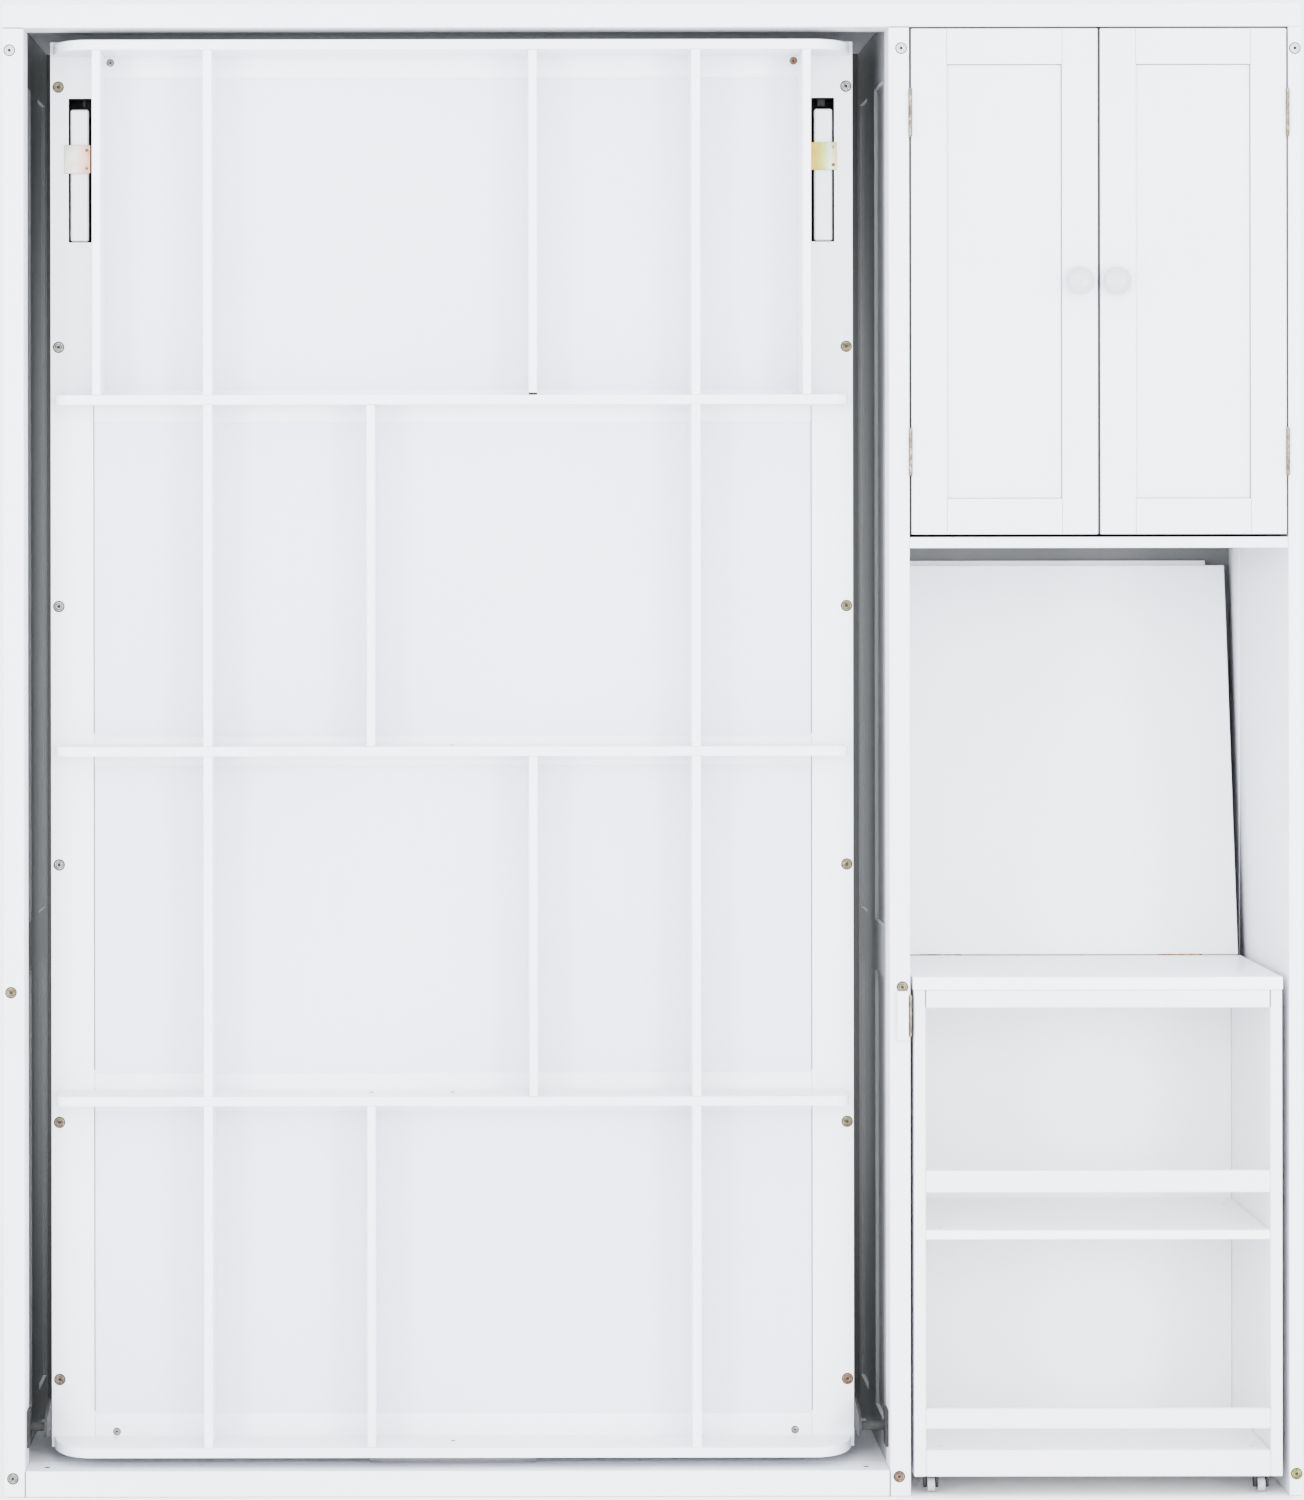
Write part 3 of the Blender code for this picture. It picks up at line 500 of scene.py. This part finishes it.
def add_bolts():
    """The bolts and screws of the posts, the bed's face, its ribs, the deck and the cart."""
    post_bolts = [
        ("left_upper", -0.8990, 2.0252, WHITE_CAP), ("left_middle", -0.8984, 0.7063, BRASS),
        ("left_lower", -0.8965, 0.0259, SILVER), ("mid_upper", 0.3490, 2.0266, WHITE_CAP),
        ("mid_middle", 0.3492, 0.7125, BRASS), ("mid_lower", 0.3440, 0.0275, RED_BRASS),
        ("right_upper", 0.9000, 2.0260, WHITE_CAP), ("right_lower", 0.9000, 0.0310, OLIVE),
    ]
    for place, x, z, material in post_bolts:
        socket_bolt(f"{place}_post_bolt", (x, deep(0.0), z), FORWARD, BOLT_RADIUS, material, "cabinet")

    panel_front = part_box("platform_panel")[0].y - STRIP_THICK
    heights = (1.9847, 1.6143, 1.2452, 0.8773, 0.5108, 0.1447)
    for side, x, tints in (("left", -0.8402, (BRASS, SILVER, SILVER, SILVER, BRASS, BRASS)),
                           ("right", 0.2812, (SILVER, BRASS, BRASS, BRASS, BRASS, RED_BRASS))):
        for number, (z, tint) in enumerate(zip(heights, tints), start=1):
            socket_bolt(f"{side}_face_bolt_{number}", (x, panel_front, z), FORWARD, BOLT_RADIUS, tint, "bed")
    corners = ((-0.766, 2.019, SILVER), (0.2065, 2.021, RED_BRASS),
               (-0.759, 0.0705, SILVER), (0.2065, 0.072, SILVER))
    for number, (x, z, material) in enumerate(corners, start=1):
        socket_bolt(f"corner_bolt_{number}", (x, panel_front, z), FORWARD, CORNER_BOLT_RADIUS,
                    material, "bed")

    bed_middle = (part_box("cross_rib_3")[0].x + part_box("cross_rib_3")[1].x) / 2
    for node in ("cross_rib_3", "cross_rib_4", "cross_rib_5"):
        for offset in (0.115, 0.0):
            cross_screw(f"{node}_screw_{round(offset * 1000)}",
                        (bed_middle - offset, deep(0.075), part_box(node)[1].z),
                        UPWARD, SCREW_RADIUS, HINGE_STEEL, "bed")

    base_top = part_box("base_rail")[1].z
    for side, x in (("left", -0.851), ("right", 0.300)):
        drilled_hole(f"{side}_deck_hole", (x, deep(0.030), base_top), UPWARD, DECK_HOLE_RADIUS, "cabinet")

    for level in ("shelf", "floor"):
        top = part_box(f"cart_{level}")[1].z
        for side, x in (("left", 0.405), ("right", 0.842)):
            for row, depth in (("front", 0.030), ("rear", 0.270)):
                cross_screw(f"cart_{level}_{side}_{row}_screw", (x, deep(depth), top), UPWARD, SCREW_RADIUS,
                            WHITE_CAP, "desk_cart")


# ---------------------------------------------------------------- bed face
def flat_frame(shape, x, z, hole_x, hole_z, y, ease=0.0006):
    """A flat plate between two Y planes with one rectangular hole."""
    def corners(xs, zs, depth):
        around = ((xs[0], zs[0]), (xs[1], zs[0]), (xs[1], zs[1]), (xs[0], zs[1]))
        return [shape.verts.new((px, depth, pz)) for px, pz in around]
    outer_front, inner_front = corners(x, z, y[0]), corners(hole_x, hole_z, y[0])
    outer_back, inner_back = corners(x, z, y[1]), corners(hole_x, hole_z, y[1])
    for step in range(4):
        following = (step + 1) % 4
        for near, far in ((outer_front, inner_front), (inner_back, outer_back),
                          (outer_back, outer_front), (inner_front, inner_back)):
            shape.faces.new((near[step], near[following], far[following], far[step]))
    sharp = [edge for edge in shape.edges if edge.calc_face_angle(0.0) > 0.5]
    bmesh.ops.bevel(shape, geom=sharp, offset=ease, segments=2, profile=0.5, affect="EDGES")


def add_bed_face():
    """The platform's frame: side stiles and cross rails that stand just proud of its fields."""
    platform_low, platform_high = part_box("platform_panel")
    y = (platform_low.y - STRIP_THICK, platform_low.y + 0.0004)
    for side, x in (("left", SIDE_STRIP_LEFT), ("right", SIDE_STRIP_RIGHT)):
        middle = LEG_SLOT_MIDDLE[side]
        shape = bmesh.new()
        flat_frame(shape, x, (platform_low.z + 0.0004, platform_high.z - 0.0004),
                   (middle - LEG_SLOT_HALF, middle + LEG_SLOT_HALF), LEG_SLOT_Z, y)
        finish_piece(f"{side}_stile", shape, BED_UP, "bed")
    for number, z in enumerate(CROSS_STRIPS, start=1):
        shape = bmesh.new()
        eased_box(shape, (SIDE_STRIP_LEFT[1] + 0.0004, y[0], z[0]),
                  (SIDE_STRIP_RIGHT[0] - 0.0004, y[1], z[1]), ease=0.0006)
        finish_piece(f"field_rail_{number}", shape, BED_ACROSS, "bed")


def add_leg_pockets():
    """A dark lining in each leg slot, and a small stop block at its upper end."""
    platform_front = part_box("platform_panel")[0].y
    inset = 0.0001
    wall = POCKET_WALL
    y = (platform_front - 0.0008, deep(POCKET_DEPTH))
    z = (LEG_SLOT_Z[0] + inset, LEG_SLOT_Z[1] - inset)
    for side, middle in LEG_SLOT_MIDDLE.items():
        x = (middle - LEG_SLOT_HALF + inset, middle + LEG_SLOT_HALF - inset)
        shape = bmesh.new()
        for low, high in (((x[0], y[0], z[0]), (x[0] + wall, y[1], z[1])),
                          ((x[1] - wall, y[0], z[0]), (x[1], y[1], z[1])),
                          ((x[0] + wall, y[0], z[0]), (x[1] - wall, y[1], z[0] + wall)),
                          ((x[0] + wall, y[0], z[1] - wall), (x[1] - wall, y[1], z[1])),
                          ((x[0], y[1], z[0]), (x[1], y[1] + 2 * wall, z[1]))):
            eased_box(shape, low, high, ease=0.0001, steps=1)
        finish_piece(f"{side}_leg_pocket", shape, POCKET_AND_GAP_SHADE, "bed")
    for side, middle, half in (("left", -0.8040, 0.0016), ("right", 0.2470, 0.0055)):
        shape = bmesh.new()
        eased_box(shape, (middle - half, deep(0.132), 1.9576), (middle + half, deep(0.137), 1.9677),
                  ease=0.0006)
        finish_piece(f"{side}_leg_stop", shape, DARK_STEEL_AND_GAP_SHADE, "bed")


def add_leg_plates():
    """A plated strap across each leg, with two small screws."""
    front = deep(0.118) - STRIP_THICK - LEG_PLATE_GAP
    for side, z, material in (("left", (1.8615, 1.9020), PEACH), ("right", (1.8655, 1.9049), RAINBOW)):
        x = LEG_PLATE_X[side]
        body = f"{side}_bed_leg"
        shape = bmesh.new()
        eased_box(shape, (x[0], front, z[0]), (x[1], front + LEG_PLATE_THICK, z[1]), ease=0.0007, steps=3)
        finish_piece(f"{side}_leg_plate", shape, material, body)
        middle = sum(z) / 2
        for number, offset in enumerate((-0.0125, 0.0125), start=1):
            cross_screw(f"{side}_plate_screw_{number}", (x[1] - 0.005, front, middle + offset), FORWARD,
                        PLATE_SCREW_RADIUS, HINGE_STEEL, body)


# ---------------------------------------------------------------- hinges
def barrel(name, start, direction, length, radius, bodies, material):
    """A row of hinge knuckles that belong to two bodies in turn, with a domed pin end at each end."""
    shapes = {body: bmesh.new() for body in bodies}
    share = length / HINGE_KNUCKLES
    place = facing(start, direction)
    soft = 0.0003
    for index in range(HINGE_KNUCKLES):
        low = index * share + HINGE_CLEARANCE
        high = (index + 1) * share - HINGE_CLEARANCE
        profile = [(radius - soft, low), (radius, low + soft), (radius, high - soft), (radius - soft, high)]
        rings(shapes[bodies[index % 2]], profile, place, segments=32)
    for low, sign in ((0.0, -1), (length, 1)):
        dome = [(radius * math.cos(angle) * 0.8, low + sign * radius * 0.7 * math.sin(angle))
                for angle in (0.0, 0.5, 1.0, 1.4)]
        rings(shapes[bodies[0]], dome if sign > 0 else list(reversed(dome)), place, segments=32)
    for body, shape in shapes.items():
        finish_piece(f"{name}_knuckles_{body}", shape, material, body)


def hinge_plate(name, low, high, body, material):
    """One plate of a hinge, with barely eased edges."""
    shape = bmesh.new()
    eased_box(shape, low, high, min(0.0003, min(b - a for a, b in zip(low, high)) * 0.3))
    finish_piece(name, shape, material, body)


def add_door_hinges():
    """Two hinges at the outer edge of each door: the barrel in front, the plates in the gap."""
    barrel_y = deep(-DOOR_BARREL_RADIUS)
    sides = (("left", 0.3616, (0.36025, 0.36125), (0.3619, 0.3628), "left_cupboard_door"),
             ("right", 0.8896, (0.88985, 0.89045), (0.8884, 0.88925), "right_cupboard_door"))
    for side, x, fixed_x, door_x, door in sides:
        for place, (low, high) in zip(("upper", "lower"), DOOR_HINGE_SPANS):
            name = f"{side}_{place}_hinge"
            barrel(name, (x, barrel_y, low), UPWARD, high - low, DOOR_BARREL_RADIUS,
                   ("cabinet", door), HINGE_STEEL)
            hinge_plate(f"{name}_fixed_plate", (fixed_x[0], barrel_y, low), (fixed_x[1], deep(0.016), high),
                        "cabinet", HINGE_STEEL)
            hinge_plate(f"{name}_door_plate", (door_x[0], barrel_y, low), (door_x[1], deep(0.016), high),
                        door, HINGE_STEEL)


def add_leaf_hinges():
    """Two slim hinges between the cart's top and the leaf, of which little more than the pin shows."""
    rear_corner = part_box("cart_top")[1]
    axis = (rear_corner.y + 0.0005, rear_corner.z + 0.0005)
    for side, low, high in (("left", 0.4100, 0.4700), ("right", 0.7610, 0.8240)):
        barrel(f"{side}_leaf_hinge", (low, *axis), RIGHTWARD, high - low, LEAF_BARREL_RADIUS,
               ("desk_cart", "leaf"), HINGE_STEEL if side == "left" else RED_BRASS)


def add_stop_hinge():
    """The hinge between the middle post and the stop block."""
    axis_y = deep(-0.00565)
    low_z, high_z = 0.6445, 0.7005
    barrel("stop_hinge", (0.3599, axis_y, low_z), UPWARD, high_z - low_z, STOP_BARREL_RADIUS,
           ("cabinet", "stop_block"), HINGE_STEEL)
    hinge_plate("stop_hinge_block_plate", (0.3571, axis_y - 0.0045, low_z), (0.3579, axis_y + 0.0020, high_z),
                "stop_block", BRASS)
    hinge_plate("stop_hinge_post_plate", (0.36025, axis_y + 0.0010, low_z), (0.3612, deep(0.0120), high_z),
                "cabinet", BRASS)


# ---------------------------------------------------------------- knobs and casters
def add_knobs():
    """Turned knobs: a flared foot, a waist and a flattened dome."""
    dome = 0.0088
    dome_steps = 14
    for side in ("left", "right"):
        low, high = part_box(f"{side}_knob")
        centre = (low + high) / 2
        head = (high.x - low.x) / 2
        length = high.y - low.y
        place = facing((centre.x, high.y, centre.z), FORWARD)
        profile = [(0.0105, 0.0), (0.0107, 0.0008), (0.0098, 0.0024), (0.0083, 0.0044), (0.0077, 0.0066)]
        profile += [(0.0082, 0.0084), (0.0104, length - 0.0148), (0.0150, length - 0.0128)]
        profile += [(head * 0.955, length - 0.0108), (head, length - dome)]
        for step in range(1, dome_steps + 1):
            angle = math.radians(86 * step / dome_steps)
            profile.append((head * math.cos(angle) ** 0.72, length - dome + dome * math.sin(angle)))
        shape = bmesh.new()
        rings(shape, profile, place, segments=96)
        knob = finish_piece(f"{side}_turned_knob", shape, KNOB_PAINT, f"{side}_cupboard_door",
                            smooth=60)
        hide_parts(f"{side}_knob")


def caster_cheek(shape, x, axle_y, axle_z, top):
    """A fork cheek: a rounded lower end about the axle, straight sides up to the bridge."""
    half = 0.0063
    corner = 0.0015
    arc_steps = 12
    outline = []
    for step in range(arc_steps + 1):
        angle = math.pi + math.pi * step / arc_steps
        outline.append((axle_y + half * math.cos(angle), axle_z - 0.0005 + half * 0.62 * math.sin(angle)))
    outline += [(axle_y + half, top - corner), (axle_y + half - corner, top), (axle_y - half + corner, top),
                (axle_y - half, top - corner)]
    near = [shape.verts.new((x[0], y, z)) for y, z in outline]
    far = [shape.verts.new((x[1], y, z)) for y, z in outline]
    shape.faces.new(near)
    shape.faces.new(list(reversed(far)))
    for step in range(len(outline)):
        following = (step + 1) % len(outline)
        shape.faces.new((near[following], near[step], far[step], far[following]))


def caster_housing(name, fork_low, fork_high, axle):
    """Two cheeks, the bridge over the wheel and the stem with its flange, in one piece."""
    swivel = Vector((axle.x, axle.y + CASTER_TRAIL, 0.0))
    shape = bmesh.new()
    for x in ((fork_low.x, fork_low.x + LEFT_CHEEK), (fork_high.x - RIGHT_CHEEK, fork_high.x)):
        caster_cheek(shape, x, axle.y, axle.z, CHEEK_TOP)
    eased_box(shape, (fork_low.x, swivel.y - 0.0195, BRIDGE_Z[0]),
              (fork_high.x, swivel.y + 0.007, BRIDGE_Z[1]), ease=0.0009, steps=3)
    stem = [(0.0072, 0.0250), (0.0072, 0.0270), (0.0052, 0.0290), (0.0048, 0.0440), (0.0086, 0.0472),
            (0.0088, 0.0480), (0.0088, fork_high.z - 0.0004), (0.0084, fork_high.z)]
    rings(shape, stem, Matrix.Translation(swivel), segments=36)
    return finish_piece(f"{name}_housing", shape, BLACK, f"{name}_caster")


def caster_wheel(name, axle, radius):
    """A tread with eased edges, shallow hubs on both sides and the axle through them."""
    half = WHEEL_HALF
    profile = [(0.0022, -AXLE_HALF), (0.0022, -half + 0.0012), (0.0048, -half + 0.0012),
               (0.0052, -half + 0.0004), (radius - 0.0022, -half + 0.0004), (radius - 0.0018, -half),
               (radius - 0.0007, -half + 0.0001), (radius, -half + 0.0010), (radius, half - 0.0010),
               (radius - 0.0007, half - 0.0001), (radius - 0.0018, half), (radius - 0.0022, half - 0.0004),
               (0.0052, half - 0.0004), (0.0048, half - 0.0012), (0.0022, half - 0.0012), (0.0022, AXLE_HALF)]
    shape = bmesh.new()
    rings(shape, profile, facing(axle, RIGHTWARD), segments=56, marks=(0, 1, 2, 3, 11, 12, 13, 14))
    return finish_piece(f"{name}_tyre", shape, [TREAD, HUB], f"{name}_roller")


def add_casters():
    """A housing and a wheel at each corner of the cart."""
    for name in ("front_left", "rear_left", "front_right", "rear_right"):
        fork_low, fork_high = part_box(f"{name}_fork")
        wheel_low, wheel_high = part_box(f"{name}_wheel")
        axle = (wheel_low + wheel_high) / 2
        fork = caster_housing(name, fork_low, fork_high, axle)
        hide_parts(f"{name}_fork")
        wheel = caster_wheel(name, axle, (wheel_high.z - wheel_low.z) / 2)
        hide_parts(f"{name}_wheel")


# ---------------------------------------------------------------- joint lines and gap lines
def seam(name, low, high, body, material=SEAM_AND_REFLECTION_LINE):
    """A fine line, a hair proud of the boards. It draws a joint, a shaded gap or a painted reflection, and is
    not a real part.
    """
    shape = bmesh.new()
    eased_box(shape, low, high, ease=SEAM_EASE, steps=1)
    finish_piece(name, shape, material, body)


def upright_seam(name, x, face_y, z, body, width=SEAM_WIDTH):
    """A joint line that runs up a front face."""
    seam(name, (x - width / 2, face_y - SEAM_PROUD, z[0]), (x + width / 2, face_y + SEAM_SUNK, z[1]), body)


def level_seam(name, x, face_y, z, body, width=SEAM_WIDTH):
    """A joint line that runs across a front face."""
    seam(name, (x[0], face_y - SEAM_PROUD, z - width / 2), (x[1], face_y + SEAM_SUNK, z + width / 2), body)


def add_cabinet_lines():
    """The niche's rear stile, and the joints at the posts' feet and heads."""
    side_low, side_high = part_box("right_side_panel")
    shape = bmesh.new()
    eased_box(shape, (side_low.x - 0.0012, deep(0.420), 0.0004),
              (side_low.x + 0.0004, side_high.y - 0.0006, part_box("cupboard_floor")[0].z - 0.0006),
              ease=0.0004)
    finish_piece("right_rear_stile", shape, CABINET_UP, "cabinet")

    rail_low, rail_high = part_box("base_rail")
    for side, x in (("left", rail_low.x), ("mid", rail_high.x)):
        upright_seam(f"{side}_foot_seam", x, rail_low.y, (0.0006, rail_high.z - 0.0006), "cabinet",
                     width=0.0011)
    for side in ("left", "mid"):
        low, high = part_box(f"{side}_front_post")
        level_seam(f"{side}_head_seam", (low.x + 0.0012, high.x - 0.0004), low.y, high.z + 0.0001, "cabinet")


def add_door_lines():
    """The edge of each door's field, and the joints between its stiles and its rails."""
    line = 0.0009
    for side in ("left", "right"):
        low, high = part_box(f"{side}_door")
        body = f"{side}_cupboard_door"
        x = (low.x + DOOR_FRAME, high.x - DOOR_FRAME)
        z = (low.z + DOOR_FRAME, high.z - DOOR_FRAME)
        field_y = low.y + DOOR_RECESS
        shape = bmesh.new()
        flat_frame(shape, (x[0] + 0.0001, x[1] - 0.0001), (z[0] + 0.0001, z[1] - 0.0001),
                   (x[0] + line, x[1] - line), (z[0] + line, z[1] - line),
                   (field_y - 0.0006, field_y + 0.0003), ease=SEAM_EASE)
        finish_piece(f"{side}_door_field_line", shape, SEAM_AND_REFLECTION_LINE, body)
        rails = (("top", (z[1] + 0.0004, high.z - 0.0014)), ("foot", (low.z + 0.0014, z[0] - 0.0004)))
        for number, place in enumerate(x, start=1):
            for rail, span in rails:
                upright_seam(f"{side}_door_{rail}_seam_{number}", place, low.y, span, body, width=0.0006)


def add_stile_seams():
    """The joint down the inner edge of each of the bed's stiles, broken at the cross strips."""
    platform_low, platform_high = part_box("platform_panel")
    strip_face = platform_low.y - STRIP_THICK
    for side, x in (("left", SIDE_STRIP_LEFT[1]), ("right", SIDE_STRIP_RIGHT[0])):
        low_z = platform_low.z + 0.002
        tops = [top for _, top in reversed(CROSS_STRIPS)] + [platform_high.z - 0.002]
        for number, top in enumerate(tops, start=1):
            if top - 0.020 > low_z + 0.05:
                upright_seam(f"{side}_stile_seam_{number}", x, strip_face, (low_z, top - 0.022), "bed",
                             width=0.0012)
            low_z = top + 0.004


def add_leaf_lines():
    """Two level lines on the leaning face of the leaf: the joint at its foot, and a hand's breadth above, a
    painted reflection of the cart's top.
    """
    low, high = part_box("desk_leaf")
    foot = Matrix.Translation((0.0, low.y, low.z + LEAF_THICK * math.sin(LEAF_LEAN)))
    lean = foot @ Matrix.Rotation(-LEAF_LEAN, 4, "X")
    for name, height, width in (("leaf_foot_seam", 0.0009, 0.0014), ("leaf_reflection_line", 0.0520, 0.0004)):
        shape = bmesh.new()
        eased_box(shape, (low.x + 0.001, -SEAM_PROUD, height - width / 2),
                  (high.x - 0.001, SEAM_SUNK, height + width / 2), ease=SEAM_EASE, steps=1)
        bmesh.ops.transform(shape, matrix=lean, verts=shape.verts)
        finish_piece(name, shape, SEAM_AND_REFLECTION_LINE, "leaf")


def add_gap_lines():
    """Dark lines that stand for the shade in the gaps round the doors and under the first divider."""
    left_low, left_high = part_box("left_door")
    right_low, right_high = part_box("right_door")
    y = (left_low.y + 0.0010, left_high.y - 0.0010)
    overlap = 0.0001
    left, right = "left_cupboard_door", "right_cupboard_door"
    for name, x, z, body in (
            ("door_meeting_gap_line", (left_high.x - overlap, right_low.x - 0.0003),
             (left_low.z, left_high.z), left),
            ("left_door_edge_gap_line", (left_low.x - GAP_LINE, left_low.x + overlap),
             (left_low.z, left_high.z), left),
            ("left_door_top_gap_line", (left_low.x, left_high.x),
             (left_high.z - overlap, left_high.z + GAP_LINE), left),
            ("right_door_edge_gap_line", (right_high.x - overlap, right_high.x + GAP_LINE),
             (right_low.z, right_high.z), right),
            ("right_door_top_gap_line", (right_low.x, right_high.x),
             (right_high.z - overlap, right_high.z + GAP_LINE), right)):
        seam(name, (x[0], y[0], z[0]), (x[1], y[1], z[1]), body, POCKET_AND_GAP_SHADE)

    low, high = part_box("divider_row_1")
    seam("divider_foot_gap", (low.x, low.y - 0.0002, low.z), (high.x, low.y + 0.0010, low.z + 0.0030),
         "bed", POCKET_AND_GAP_SHADE)


def add_apron_seams():
    """The joints between the cart's apron and its sides."""
    apron_low, apron_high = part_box("cart_apron")
    z = (apron_low.z + 0.001, apron_high.z - 0.0004)
    for side in ("left", "right"):
        low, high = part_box(f"cart_{side}_side")
        x = high.x if side == "left" else low.x
        upright_seam(f"cart_{side}_apron_seam", x, apron_low.y, z, "desk_cart", width=0.0009)


def add_floor():
    """The plain pale floor."""
    shape = bmesh.new()
    bmesh.ops.create_grid(shape, x_segments=24, y_segments=24, size=14.0)
    mesh = bpy.data.meshes.new("floor")
    shape.to_mesh(mesh)
    shape.free()
    surface = Surface("floor_paint", 0.75)
    stops = [(0.3, (0.955, 0.955, 0.96)), (0.7, (0.98, 0.98, 0.985))]
    surface.colour(surface.ramp(surface.noise(0.8), stops))
    mesh.materials.append(surface.material)
    floor = bpy.data.objects.new("floor", mesh)
    bpy.context.scene.collection.objects.link(floor)
    floor.location = (0.0, 0.0, -0.0006)


add_camera()
add_lights()
paint_nodes()
add_bed_face()
add_leg_pockets()
add_leg_plates()
add_bolts()
add_door_hinges()
add_leaf_hinges()
add_stop_hinge()
add_knobs()
add_casters()
add_cabinet_lines()
add_door_lines()
add_stile_seams()
add_leaf_lines()
add_gap_lines()
add_apron_seams()
add_floor()
